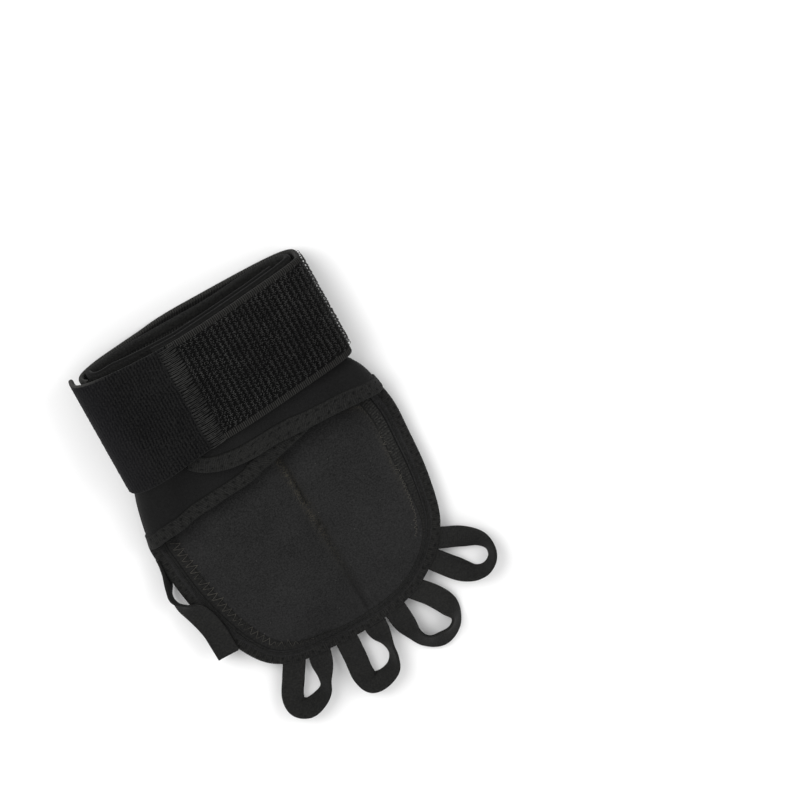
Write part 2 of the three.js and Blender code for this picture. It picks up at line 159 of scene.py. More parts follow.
# Lower edges of the wings, and how wide the hem bands on them are
LEFT_HEM_EDGE = table(
    "x y width",
    (-65, 16.4, 7), (-55, 20.9, 7), (-31, 24.7, 7), (-7.6, 27.4, 7), (13.8, 33.4, 7), (25, 37, 7),
)
RIGHT_HEM_EDGE = table(
    "x y width",
    (-38, 48.5, 7), (-32, 43, 7.6), (-21, 38.8, 8.6), (-9, 37.6, 9.2), (3, 38.2, 8), (12, 37.8, 7.2),
    (35, 35.8, 7), (46, 33.6, 7), (55, 30.6, 7),
)

# Ribbon loops: middle line and lean, in degrees from flat, of each finger's loop
LOOPS = {
    "thumb_loop": table(
        "x y z lean",
        (-65, 8, 5.4, -92), (-65.2, 4, 5.6, -98), (-66.1, -3, 6.2, -112), (-67.6, -8, 7.2, -98),
        (-65.4, -13.5, 9, -58), (-61.4, -19, 10.7, -16), (-59, -28, 10.5, -3), (-58.6, -35, 10.4, -5),
        (-58.4, -42, 10, -8),
    ),
    "index_loop": table(
        "x y z lean",
        (-36.2, -61.6, 6.5, 0), (-39.4, -67.5, 5.4, 2), (-43.4, -75, 5, 10), (-43.6, -79.8, 5, 28),
        (-39.8, -83, 5, 46), (-34, -82.2, 5, 62), (-29.4, -79.4, 5, 74), (-27.6, -74.6, 5.2, 66),
        (-25.8, -68.6, 5.8, 30), (-24.6, -63.6, 6.5, 0),
    ),
    "middle_loop": table(
        "x y z lean",
        (-11.6, -63.9, 6.5, 0), (-12, -73, 5.2, 2), (-12.6, -82, 5, 12), (-11, -86.8, 5, 36),
        (-5.4, -87.8, 5, 58), (0.4, -85.4, 5, 70), (3, -80.6, 5, 78), (3, -74.4, 5.2, 66),
        (2.4, -69, 5.8, 30), (2.1, -64, 6.5, 0),
    ),
    "ring_loop": table(
        "x y z lean",
        (12.8, -63.4, 6.5, 0), (13.4, -69.5, 5.4, -14), (14.8, -76.6, 5, -48), (18, -82, 5, -48),
        (24.4, -84.6, 5, -34), (30.8, -82.8, 5, -50), (34.2, -77.8, 5, -60), (32.8, -71.6, 5, -24),
        (29.4, -65, 5.4, -6), (25.2, -59.2, 6.5, 0),
    ),
    "little_loop": table(
        "x y z lean",
        (37.6, -51, 6.5, 0), (42.2, -57.6, 5.4, 8), (46.4, -62.8, 5, 40), (50.6, -66, 5, 68),
        (55.2, -66.6, 5, 82), (59.4, -64, 5, 84), (60.9, -59.4, 5, 72), (58.6, -53, 5, 38),
        (52.4, -47.8, 5.6, 8), (45.2, -43.8, 6.5, 0),
    ),
}


def mix(a, b, share):
    """The value a share of the way from a to b."""
    return a + (b - a) * share


def smooth(value, low, high):
    """0 below low, 1 above high, and 3 t^2 - 2 t^3 between them."""
    t = np.clip((value - low) / (high - low), 0, 1)
    return t * t * (3 - 2 * t)


def spline(points, closed=False, steps=32):
    """Centripetal Catmull-Rom line: Hermite cubics between points, with gaps of the root of their distance.

    The distance is that of the first three columns, and any later column follows the same cubics.
    """
    p = np.asarray(points, float)
    if closed:
        p0, p1, p2, p3 = (np.roll(p, shift, 0) for shift in (1, 0, -1, -2))
    else:
        ends = np.vstack([2 * p[0] - p[1], p, 2 * p[-1] - p[-2]])
        p0, p1, p2, p3 = ends[:-3], ends[1:-2], ends[2:-1], ends[3:]
    pairs = ((p0, p1), (p1, p2), (p2, p3))
    d0, d1, d2 = (np.sqrt(np.linalg.norm((b - a)[:, :3], axis=1, keepdims=True)) for a, b in pairs)
    m1 = ((p1 - p0) / d0 - (p2 - p0) / (d0 + d1) + (p2 - p1) / d1) * d1
    m2 = ((p2 - p1) / d1 - (p3 - p1) / (d1 + d2) + (p3 - p2) / d2) * d1
    t = (np.arange(steps) / steps)[None, :, None]
    p1, p2, m1, m2 = (a[:, None] for a in (p1, p2, m1, m2))
    line = (2 * t**3 - 3 * t**2 + 1) * p1 + (t**3 - 2 * t**2 + t) * m1
    line = line + (3 * t**2 - 2 * t**3) * p2 + (t**3 - t**2) * m2
    return np.vstack([line.reshape(-1, p.shape[1]), p[:1] if closed else p[-1:]])


def lengths(line):
    """Length of a line up to each of its points."""
    return np.concatenate([[0], np.cumsum(np.linalg.norm(np.diff(line[:, :3], axis=0), axis=1))])


def walk(line, shares):
    """Points of a line at shares of its length."""
    length = lengths(line)
    return np.stack([np.interp(np.asarray(shares) * length[-1], length, column) for column in line.T], -1)


def slopes(line, shares, reach=0.004):
    """Unit directions of a line at shares of its length, from points a little before and after."""
    ahead = walk(line, np.clip(np.asarray(shares) + reach, 0, 1))
    behind = walk(line, np.clip(np.asarray(shares) - reach, 0, 1))
    return unit((ahead - behind)[..., :3])


def unit(vectors):
    """Vectors of length 1."""
    return vectors / np.maximum(np.linalg.norm(vectors, axis=-1, keepdims=True), 1e-9)


def rounded(rows, key):
    """Table whose columns follow smooth cubics over the key column instead of straight lines."""
    made = {key: None}
    for column in rows:
        if column != key:
            line = spline(np.stack([rows[key], rows[column]], -1))
            made[key] = np.linspace(rows[key][0], rows[key][-1], 400)
            made[column] = np.interp(made[key], line[:, 0], line[:, 1])
    return made


def read(rows, key, at, column):
    """Reading of a table's column where its key column has the value at."""
    return np.interp(at, rows[key], rows[column])


CUFF = rounded(CUFF_ROWS, "y")
STRAP = rounded(STRAP_SECTION, "x")
SEAM_LINE = rounded(SEAM, "y")
OUTLINE = spline(np.stack([BODY_OUTLINE["x"], BODY_OUTLINE["y"]], -1), closed=True)


def outline_point(share, inset):
    """Point of the body's outline at a share of its length, moved in by the inset along the normal."""
    share = np.asarray(share) % 1
    point = walk(OUTLINE, share)
    ahead, behind = walk(OUTLINE, (share + 0.003) % 1), walk(OUTLINE, (share - 0.003) % 1)
    tangent = unit(ahead - behind)
    inward = np.stack([-tangent[..., 1], tangent[..., 0]], -1)
    return point + inward * np.asarray(inset)[..., None]


def corner_shares(low_left, low_right):
    """First and last share at which the outline is below the left and the right height in plan."""
    share = np.linspace(0, 1, 2001)
    point = walk(OUTLINE, share)
    inside = share[point[:, 1] <= np.where(point[:, 0] < MIDDLE[0], low_left, low_right)]
    return inside[0], inside[-1]


# Meshes from whole arrays
def make(name, points, faces, materials, uv=None, kinds=None, shade=None):
    """Object from points in millimetres and lists of corners, turned outwards by the sign of its volume.

    The volume is the sum over each face's fan of triangles of a . (b x c) / 6. uv is in millimetres at each
    corner. shade is how much paler, or darker if negative, each point is.
    """
    square = np.array([f[:3] for f in faces]) if isinstance(faces, list) else faces[:, :3]
    a, b, c = (points[square[:, k]] for k in range(3))
    if np.einsum("ij,ij->", a, np.cross(b, c)) < 0:
        faces = [f[::-1] for f in faces] if isinstance(faces, list) else faces[:, ::-1]
        if uv is not None:
            uv = [f[::-1] for f in uv] if isinstance(uv, list) else uv[:, ::-1]
    mesh = bpy.data.meshes.new(name)
    rows = [list(map(int, f)) for f in faces] if isinstance(faces, list) else faces.tolist()
    mesh.from_pydata((points * 0.001).tolist(), [], rows)
    for material in materials:
        mesh.materials.append(material)
    if uv is not None:
        corners = np.concatenate([np.asarray(f) for f in uv]) if isinstance(uv, list) else uv.reshape(-1, 2)
        mesh.uv_layers.new(name="UVMap").data.foreach_set("uv", (corners * 0.001).astype(np.float32).ravel())
    if kinds is not None:
        mesh.polygons.foreach_set("material_index", np.asarray(kinds, np.int32))
    if shade is not None:
        values = np.asarray(shade, np.float32).ravel()
        mesh.attributes.new("shade", "FLOAT", "POINT").data.foreach_set("value", values)
    mesh.polygons.foreach_set("use_smooth", np.full(len(rows), True))
    mesh.validate()
    mesh.update()
    made = bpy.data.objects.new(name, mesh)
    bpy.context.scene.collection.objects.link(made)
    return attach(made, "root")


def spaced(length, step, edge=0.0, turns=4):
    """Distances from 0 to length a step apart, with a few more in each end's rounding of radius edge."""
    bend = edge * (1 - np.cos(np.linspace(0, np.pi / 2, turns + 1)))
    middle = np.linspace(edge, length - edge, max(int((length - 2 * edge) / step), 2) + 1)
    return np.unique(np.round(np.concatenate([bend, middle, length - bend]), 5))


def grid_faces(rows, columns, wrap_columns=False):
    """Corners of the quads between neighbouring points of a grid."""
    i = np.arange(rows - 1)[:, None]
    j = np.arange(columns if wrap_columns else columns - 1)[None, :]
    after = (j + 1) % columns
    here, ahead = i * columns, (i + 1) * columns
    return np.stack([here + j, ahead + j, ahead + after, here + after], -1).reshape(-1, 4)


def slab(name, outer, thickness, materials, relief=0.0, inner_relief=0.0, rounding=None, shade=0.0,
         inner_shade=0.0):
    """Sheet with a thickness and rounded long edges. Rows go along it and columns across it.

    With n the unit cross product of the slopes along and across, and d the distance to the nearest long edge,
    the faces are outer - n T / 2 +- n h, where h = T / 2 sqrt(1 - (1 - min(d / r, 1))^2).
    """
    rows, columns = outer.shape[:2]
    normal = unit(np.cross(np.gradient(outer, axis=0), np.gradient(outer, axis=1)))
    across = lengths(outer[rows // 2])
    along = lengths(outer[:, columns // 2])
    half = np.broadcast_to(np.asarray(thickness, float) / 2, (rows, columns))
    radius = thickness / 2 if rounding is None else rounding
    edge = np.minimum(across, across[-1] - across) / np.max(radius)
    height = half * np.sqrt(1 - (1 - np.clip(edge, 0, 1)) ** 2)
    fade = smooth(edge, 0, 1)
    middle = outer - normal * half[..., None]
    top = middle + normal * (height + relief * fade)[..., None]
    under = middle - normal * (height + inner_relief * fade)[..., None]
    points = np.concatenate([top, under[:, -2:0:-1]], 1)
    inner = np.broadcast_to(inner_shade, (rows, columns))[:, -2:0:-1]
    tint = np.concatenate([np.broadcast_to(shade, (rows, columns)), inner], 1)
    loop = points.shape[1]
    faces = grid_faces(rows, loop, wrap_columns=True)
    v = np.concatenate([across, across[-2:0:-1]])
    uv = np.stack([along[faces // loop], v[faces % loop]], -1)
    kinds = (np.tile(np.arange(loop), rows - 1) >= columns - 1).astype(int) if len(materials) > 1 else None
    ends = [np.arange(loop)[::-1], (rows - 1) * loop + np.arange(loop)]
    end_uv = [np.stack([along[f // loop], v[f % loop]], -1) for f in ends]
    if kinds is not None:
        kinds = np.concatenate([kinds, [0, 0]])
    return make(name, points.reshape(-1, 3), [*faces, *ends], materials, [*uv, *end_uv], kinds, tint)


def strands(name, paths, radius, sides, material, normals=None, taper=0.0):
    """Many small tubes as one mesh. paths is tubes x points x 3, and radius a number or an array like it.

    A tube's ring at the angle p is path + r (cos p s + sin p w), with s = unit(t x n) and w = s x t.
    """
    count, steps = paths.shape[:2]
    tangent = unit(np.gradient(paths, axis=1))
    if normals is None:
        normals = np.array([0.0, 0.0, 1.0])
    normals = np.broadcast_to(normals[:, None] if np.ndim(normals) == 2 else normals, tangent.shape)
    side = unit(np.cross(tangent, normals + 1e-4))
    lift = np.cross(side, tangent)
    size = np.broadcast_to(np.asarray(radius, float), (count, steps)).copy()
    if taper:
        size[:, [0, -1]] *= 1 - taper
    angle = np.arange(sides) * 2 * np.pi / sides
    ring = np.cos(angle)[:, None] * side[:, :, None] + np.sin(angle)[:, None] * lift[:, :, None]
    points = paths[:, :, None] + ring * size[:, :, None, None]
    one = grid_faces(steps, sides, wrap_columns=True)
    along = lengths(paths[0])
    faces = (one[None] + (np.arange(count) * steps * sides)[:, None, None]).reshape(-1, 4)
    uv_one = np.stack([along[one // sides], (one % sides) * 1.0], -1)
    uv = np.tile(uv_one, (count, 1, 1))
    start = np.arange(count)[:, None] * steps * sides
    caps = [start + np.arange(sides)[::-1], start + (steps - 1) * sides + np.arange(sides)]
    cap_uv = np.zeros((count, sides, 2))
    every_uv = [*uv, *cap_uv, *cap_uv]
    return make(name, points.reshape(-1, 3), [*faces, *caps[0], *caps[1]], [material], every_uv)


def even_shares(line_at, step):
    """Shares from 0 to 1 at which the points of line_at(share) are a step apart along the line."""
    share = np.linspace(0, 1, 1500)
    length = lengths(line_at(share))
    return np.interp(np.linspace(0, length[-1], max(int(length[-1] / step), 2) + 1), length, share)


def drift(x, y, size, seed, octaves=2):
    """Smooth random field from -1 to 1: a sum of sines in random directions, with waves about size long."""
    source = np.random.default_rng(seed)
    total = 0
    for octave in range(octaves):
        for _ in range(7):
            turn, phase = source.uniform(0, 2 * np.pi, 2)
            wave = 2 * np.pi / (size * source.uniform(0.7, 1.5)) * 2**octave
            total = total + np.sin(wave * (x * np.cos(turn) + y * np.sin(turn)) + phase) / 2**octave
    return total / (3.2 * octaves)


# Materials
def linear(hexcode):
    """Linear colour from an sRGB hex code: c / 12.92 below 0.04045, else ((c + 0.055) / 1.055)^2.4."""
    srgb = np.array([int(hexcode[k : k + 2], 16) for k in (1, 3, 5)]) / 255
    return (*np.where(srgb <= 0.04045, srgb / 12.92, ((srgb + 0.055) / 1.055) ** 2.4), 1.0)


def fabric(name, colour, light, rough=0.9, sheen=0.03, grain=0.5, depth=0.08, contrast=0.5, patches=0.25,
           weave=None, wales=None, flecks=0.0, dust=None, painted_sheen=None, spec=0.08, pale="#5c5b58"):
    """Cloth: a mottled colour between two tones, a grained bump, and a weave of two crossed ribs if asked.

    grain is the size of the mottling and depth its height in millimetres. weave is (pitch along, pitch
    across, height). wales is (pitch along, slant, share) of darker and lighter lines. flecks is how many of
    the finest grains are pale. dust names the attribute that lightens the colour, and painted_sheen is
    (x from, x to) of a painted bluish sheen, a tint in the colour that fades out between these two x.
    """
    material = bpy.data.materials.new(name)
    material.use_nodes = True
    tree = material.node_tree
    shader = tree.nodes["Principled BSDF"]
    finish = {"Roughness": rough, "Specular IOR Level": spec, "Sheen Weight": sheen, "Sheen Roughness": 0.5}
    for key, value in finish.items():
        shader.inputs[key].default_value = value

    def node(kind, inputs=None, **settings):
        """Outputs of a new shader node with its settings, and each input given a value or a link."""
        made = tree.nodes.new("ShaderNode" + kind)
        for key, value in settings.items():
            setattr(made, key, value)
        for key, value in (inputs or {}).items():
            if isinstance(value, bpy.types.NodeSocket):
                tree.links.new(value, made.inputs[key])
            else:
                made.inputs[key].default_value = value
        return made.outputs

    spot = node("TexCoord")["Object"]
    fine = node("TexNoise", {"Vector": spot, "Scale": 500 / grain, "Detail": 2.0, "Roughness": 0.7})["Fac"]
    broad = node("TexNoise", {"Vector": spot, "Scale": 40.0, "Detail": 2.0})["Fac"]
    spread = node("MapRange", {"Value": fine, "From Min": 0.25, "From Max": 0.75,
                               "To Min": 0.5 - contrast / 2, "To Max": 0.5 + contrast / 2})[0]
    cloud = node("MapRange", {"Value": broad, "From Min": 0.3, "From Max": 0.7,
                              "To Min": -patches / 2, "To Max": patches / 2})[0]
    share = node("Math", {0: spread, 1: cloud}, operation="ADD", use_clamp=True)[0]
    split = node("SeparateXYZ", {"Vector": node("UVMap")["UV"]})
    if wales:
        bent = node("Math", {0: broad, 1: 0.004, 2: split[0]}, operation="MULTIPLY_ADD")[0]
        bent = node("Math", {0: split[1], 1: wales[1], 2: bent}, operation="MULTIPLY_ADD")[0]
        turn = node("Math", {0: bent, 1: 2 * math.pi * 1000 / wales[0]}, operation="MULTIPLY")[0]
        line = node("Math", {0: turn}, operation="SINE")[0]
        share = node("Math", {0: line, 1: wales[2], 2: share}, operation="MULTIPLY_ADD", use_clamp=True)[0]
    tints = []
    if flecks:
        dots = node("TexVoronoi", {"Vector": spot, "Scale": 1000 / 1.1})
        chance = node("SeparateColor", {"Color": dots["Color"]})[0]
        near = node("Math", {0: dots["Distance"], 1: 0.13}, operation="LESS_THAN")[0]
        rare = node("Math", {0: chance, 1: flecks}, operation="LESS_THAN")[0]
        tints.append((node("Math", {0: near, 1: rare}, operation="MULTIPLY")[0], "#4e4e4b"))
    if dust:
        powder = node("Attribute", attribute_name=dust)["Fac"]
        speck = node("TexNoise", {"Vector": spot, "Scale": 1700.0, "Detail": 2.0})["Fac"]
        grains = node("MapRange", {"Value": speck, "From Min": 0.45, "From Max": 0.62})[0]
        amount = node("Math", {0: powder, 1: grains}, operation="MULTIPLY", use_clamp=True)[0]
        tints.append((amount, "#48443a"))
    # Painted sheen: a bluish tint laid into the colour over the left end, where the tape turns away
    if painted_sheen:
        across = node("SeparateXYZ", {"Vector": spot})[0]
        side = node("MapRange", {"Value": across, "From Min": painted_sheen[0] * 0.001, "From Max": painted_sheen[1] * 0.001,
                                 "To Min": 0.4, "To Max": 0.0})[0]
        tints.append((side, "#19191c"))
    # The shade attribute: positive tints the colour towards pale, negative towards near black. Most of it is
    # painted highlight and painted shade; some pieces also add random tone and specks to it.
    shade = node("Attribute", attribute_name="shade")["Fac"]
    for sign, tint in ((1.0, pale), (-1.0, "#040404")):
        tints.append((node("Math", {0: shade, 1: sign}, operation="MULTIPLY", use_clamp=True)[0], tint))
    # Of a Mix node's sockets, 6 and 7 are the colours in and 2 is the colour out
    base = node("Mix", {0: share, 6: linear(colour), 7: linear(light)}, data_type="RGBA")[2]
    for factor, tint in tints:
        base = node("Mix", {0: factor, 6: base, 7: linear(tint)}, data_type="RGBA")[2]
    tree.links.new(base, shader.inputs["Base Color"])
    bump = node("Bump", {"Strength": 1.0, "Distance": depth * 0.001, "Height": fine})["Normal"]
    if weave:
        waves = []
        for axis, pitch in enumerate(weave[:2]):
            turn = node("Math", {0: split[axis], 1: 2 * math.pi * 1000 / pitch}, operation="MULTIPLY")[0]
            waves.append(node("Math", {0: turn}, operation="SINE")[0])
        crossed = node("Math", {0: waves[0], 1: waves[1]}, operation="MULTIPLY")[0]
        bump = node("Bump", {"Strength": 1.0, "Distance": weave[2] * 0.001, "Height": crossed,
                             "Normal": bump})["Normal"]
    tree.links.new(bump, shader.inputs["Normal"])
    return material


# Smooth nylon-faced neoprene: matt, even, with a faint knit
neoprene = fabric("neoprene", "#101010", "#181818", grain=0.5, depth=0.06, contrast=0.9, patches=0.5,
                  weave=(0.9, 0.7, 0.03))
# Brushed jersey over foam: fine mottled pile with a little pale lint
jersey = fabric("jersey", "#151515", "#292929", rough=1.0, grain=0.34, depth=0.1, contrast=1.2, patches=0.3,
                flecks=0.025, dust="dust")
# Polyester binding tape: ribs across, a little shine on the ribs
binding = fabric("binding", "#0d0d0d", "#20201f", rough=0.85, grain=0.36, depth=0.06, contrast=1.3)
# Brushed loop velour: dark and soft in wales, with a painted bluish sheen where it turns
velour = fabric("velour", "#030304", "#181818", rough=1.0, grain=0.36, depth=0.2, contrast=1.6, patches=0.4,
                wales=(1.5, 0.0, 0.3), painted_sheen=(-61, -45))
# Woven nylon ground of the hook tape, and its plain inner side in diagonal lines
hook_ground = fabric("hook_ground", "#040404", "#0f0f0f", rough=0.8, grain=0.4, depth=0.06, contrast=1.3,
                     weave=(1.1, 0.8, 0.12), spec=0.04)
twill = fabric("twill", "#090909", "#242423", rough=0.8, grain=0.4, depth=0.05, contrast=1.1,
               wales=(1.3, 0.5, 0.5), weave=(1.1, 0.9, 0.1))
# Stiff nylon hooks: smooth monofilament with a small highlight
nylon = fabric("nylon", "#0d0d0d", "#2f2f2e", rough=0.45, sheen=0.0, grain=3, depth=0.0, contrast=1.2,
               spec=0.3)
# Grosgrain ribbon: fine ribs across
grosgrain = fabric("grosgrain", "#121212", "#242423", rough=0.8, grain=0.4, depth=0.04, contrast=1.1)
# Twisted polyester thread
thread = fabric("thread", "#121212", "#2b2b2a", rough=0.6, grain=0.9, depth=0.03, contrast=1.4, patches=0.8)
pale_thread = fabric("pale_thread", "#1a1a19", "#403e3a", rough=0.8, grain=1.6, depth=0.03, contrast=1.3,
                     patches=1.6)


def ribs(distance, pitch, height):
    """Rounded ribs: height times (|cos(pi d / pitch)|^0.7 - 0.6), so that the valleys are narrow."""
    return height * (np.abs(np.cos(np.pi * distance / pitch)) ** 0.7 - 0.6)


def rib_shade(distance, pitch, share):
    """Painted highlights on those ribs' tops and painted shade in their valleys: share times cos(2 pi d /
    pitch), uneven along them.
    """
    uneven = 1 + 0.5 * np.sin(distance * 0.83) * np.sin(distance * 2.3)
    return share * np.cos(2 * np.pi * distance / pitch) * uneven


def pits(along, across, pitch, rows, size=0.5):
    """Needle holes, from 0 to 1: a bell-shaped dip at each stitch, pitch apart along, on the given rows."""
    total = 0
    for index, row in enumerate(rows):
        shift = (along + index * pitch / 2 + pitch / 2) % pitch - pitch / 2
        total = total + np.exp(-(shift**2 + (across - row) ** 2) / size**2)
    return total


# Shell and pad
def shell_under(plan, inside):
    """Height of the shell's underside: the edge's times (1 - s)^1.5, with s smooth over the flat inset."""
    edge = mix(EDGE_HEIGHT - BINDING_HEIGHT / 2 + 0.1, HIDDEN_EDGE, smooth(plan[..., 1], 28, 50))
    return edge * (1 - smooth(inside, 0, FLAT_INSET)) ** 1.5


def pad_under(plan, inside):
    """Height of the pad's underside, just over the shell."""
    return shell_under(plan, inside) + NEOPRENE + GAP


def pad_top(inside, start):
    """Height of the pad: from the edge to the crown as 1 - (1 - d / 46)^2.6."""
    rise = 1 - (1 - np.minimum(inside / 46, 1)) ** 2.6
    return mix(start + 2, CROWN, rise)


def disc(size, hidden_inset):
    """Square grid laid into the body's outline: plan points and their distance to the outline's inner edge.

    A point (a, b) of the square has r = max(|a|, |b|) and the share s of its place round the square; it goes
    to middle + r (edge(s) - middle).
    """
    side = np.linspace(-1, 1, size + 1)
    a, b = np.meshgrid(side, side, indexing="ij")
    r = np.maximum(np.abs(a), np.abs(b))
    safe = np.maximum(r, 1e-9)
    upper = (b >= np.abs(a), np.abs(a + b) * 0 + (-a / safe) / 8)
    left = (-a > np.abs(b), 0.25 - (b / safe) / 8)
    lower = (-b >= np.abs(a), 0.5 + (a / safe) / 8)
    right = (a > np.abs(b), 0.75 + (b / safe) / 8)
    share = np.select([upper[0], left[0], lower[0], right[0]], [upper[1], left[1], lower[1], right[1]], 0.0)
    hidden = smooth(outline_point(share, 0)[..., 1], 32, 42)
    edge = outline_point(share, mix(BINDING_WIDTH / 2, hidden_inset, hidden))
    plan = MIDDLE + r[..., None] * (edge - MIDDLE)
    covered = (BINDING_WIDTH / 2 + GAP) * (1 - hidden)
    return plan, np.maximum(np.linalg.norm(plan - edge, axis=-1) - covered, 0), edge


def cushion(name, size, hidden_inset, top, under, materials):
    """Closed body between two heights over the square grid, with a wall round its rim."""
    plan, inside, edge = disc(size, hidden_inset)
    upper = np.concatenate([plan, top(plan, inside, edge)[..., None]], -1).reshape(-1, 3)
    lower = np.concatenate([plan, under(plan, inside)[..., None]], -1).reshape(-1, 3)
    count = len(upper)
    faces = grid_faces(size + 1, size + 1)
    index = np.arange(count).reshape(size + 1, size + 1)
    rim = np.concatenate([index[:-1, 0], index[-1, :-1], index[:0:-1, -1], index[0, :0:-1]])
    after = np.roll(rim, -1)
    wall = np.stack([rim, rim + count, after + count, after], -1)
    both = np.concatenate([faces, faces[:, ::-1] + count, wall])
    return make(name, np.concatenate([upper, lower]), both, materials), inside, index


def seam_distance(points):
    """Distance in x from the pad's middle seam."""
    return points[..., 0] - read(SEAM_LINE, "y", points[..., 1], "x")


def shell_top(plan, inside, edge):
    """Height of the shell's upper side, its cloth's thickness over its underside."""
    return shell_under(plan, inside) + NEOPRENE


cushion("back_shell", 48, GAP, shell_top, shell_under, [neoprene])


def weight_pad():
    """Padded panel: pressure blows the cloth up a little, held at its rim, its seam and its underside.

    It starts as pad_top less a valley exp(-(d / 4.5)^2) deep at a distance d from the seam, times SEAM_DEPTH.
    """
    size = 56

    def top(plan, inside, edge):
        valley = SEAM_DEPTH * np.exp(-((seam_distance(plan) / 4.5) ** 2)) * smooth(inside, 2, 14)
        return pad_top(inside, pad_under(edge, 0 * inside)) - valley

    pad, inside, index = cushion("weight_pad", size, PAD_HIDDEN_INSET, top, pad_under, [jersey])
    count = index.size
    at_rest = np.array([v.co for v in pad.data.vertices], float)
    seam = np.abs(seam_distance(at_rest[:count] * 1000))
    held = np.clip(1 - inside.ravel() / 5, 0, 1) + np.exp(-((seam / 2.2) ** 2))
    group = pad.vertex_groups.new(name="held")
    for weight in np.linspace(0.1, 1, 10):
        chosen = np.where(np.abs(np.clip(held, 0, 1) - weight) <= 0.05)[0]
        group.add(chosen.tolist(), float(weight), "REPLACE")
    group.add(list(range(count, 2 * count)), 1.0, "REPLACE")
    cloth = pad.modifiers.new("cloth", "CLOTH")
    cloth.settings.quality = 6
    cloth.settings.mass = 0.3
    cloth.settings.tension_stiffness = 12
    cloth.settings.compression_stiffness = 12
    cloth.settings.bending_stiffness = 3
    cloth.settings.use_pressure = True
    cloth.settings.uniform_pressure_force = 3
    cloth.settings.vertex_group_mass = "held"
    cloth.settings.effector_weights.gravity = 0
    scene = bpy.context.scene
    for step in range(1, 21):
        scene.frame_set(step)
    graph = bpy.context.evaluated_depsgraph_get()
    moved = np.array([v.co for v in pad.evaluated_get(graph).data.vertices], float) - at_rest
    scene.frame_set(1)
    pad.modifiers.remove(cloth)
    distance = np.maximum(np.linalg.norm(moved, axis=1, keepdims=True), 1e-9)
    at_rest += moved * np.minimum(1, MOST_BLOWN * 0.001 / distance)
    upper = at_rest[:count] * 1000
    crease = 0.7 * np.exp(-((seam_distance(upper) / 0.9) ** 2)) * smooth(inside.ravel(), 1, 8)
    soft = 0.35 * drift(upper[:, 0], upper[:, 1], 34, 3) * smooth(inside.ravel(), 2, 14)
    at_rest[:count, 2] += (soft - crease) * 0.001
    pad.data.vertices.foreach_set("co", at_rest.astype(np.float32).ravel())
    pad.data.update()
    subdivision = pad.modifiers.new("subdivision", "SUBSURF")
    subdivision.levels = 1
    subdivision.render_levels = 1
    dust = np.exp(-((seam_distance(upper) / 1.5) ** 2)) * smooth(upper[:, 1], -55, 10) * 0.6
    rim_dust = 0.4 * np.exp(-(((inside.ravel() - 7) / 1.5) ** 2)) * (upper[:, 0] > 10)
    rim_dust = rim_dust * smooth(upper[:, 1], -30, 5)
    both = np.concatenate([np.maximum(dust, rim_dust), np.zeros(count)])
    pad.data.attributes.new("dust", "FLOAT", "POINT").data.foreach_set("value", both.astype(np.float32))
    # Painted shade: a dark line beside the seam, in its crease
    line = np.exp(-(((seam_distance(upper) - 0.6) / 0.8) ** 2)) * smooth(inside.ravel(), 1, 6)
    dark = np.concatenate([-0.75 * line, np.zeros(count)])
    pad.data.attributes.new("shade", "FLOAT", "POINT").data.foreach_set("value", dark.astype(np.float32))
    return pad


pad = weight_pad()


def on_pad(plan, lift):
    """Plan points brought straight down onto the pad's finished top, then raised by the lift.

    They start 60 mm high, and a point that finds no pad under it is put 9 mm high.
    """
    shape = plan.shape[:-1]
    high = np.concatenate([plan, np.full((*shape, 1), 60.0)], -1).reshape(-1, 3)
    probe = bpy.data.meshes.new("probe")
    probe.from_pydata((high * 0.001).tolist(), [], [])
    finder = bpy.data.objects.new("probe", probe)
    bpy.context.scene.collection.objects.link(finder)
    wrap = finder.modifiers.new("wrap", "SHRINKWRAP")
    wrap.target = pad
    wrap.wrap_method = "PROJECT"
    wrap.use_project_z = True
    wrap.use_negative_direction = True
    wrap.use_positive_direction = False
    graph = bpy.context.evaluated_depsgraph_get()
    graph.update()
    found = np.array([v.co for v in finder.evaluated_get(graph).data.vertices], float) * 1000
    bpy.data.objects.remove(finder)
    bpy.data.meshes.remove(probe)
    found[:, 2] = np.where(found[:, 2] > 55, 9.0, found[:, 2])
    return found.reshape(*shape, 3) + np.array([0, 0, 1]) * np.asarray(lift)[..., None]


# Edge binding, its welt, and the zigzag stitches inside it
LEFT_SHARE, RIGHT_SHARE = corner_shares(LEFT_CORNER_Y, RIGHT_CORNER_Y)


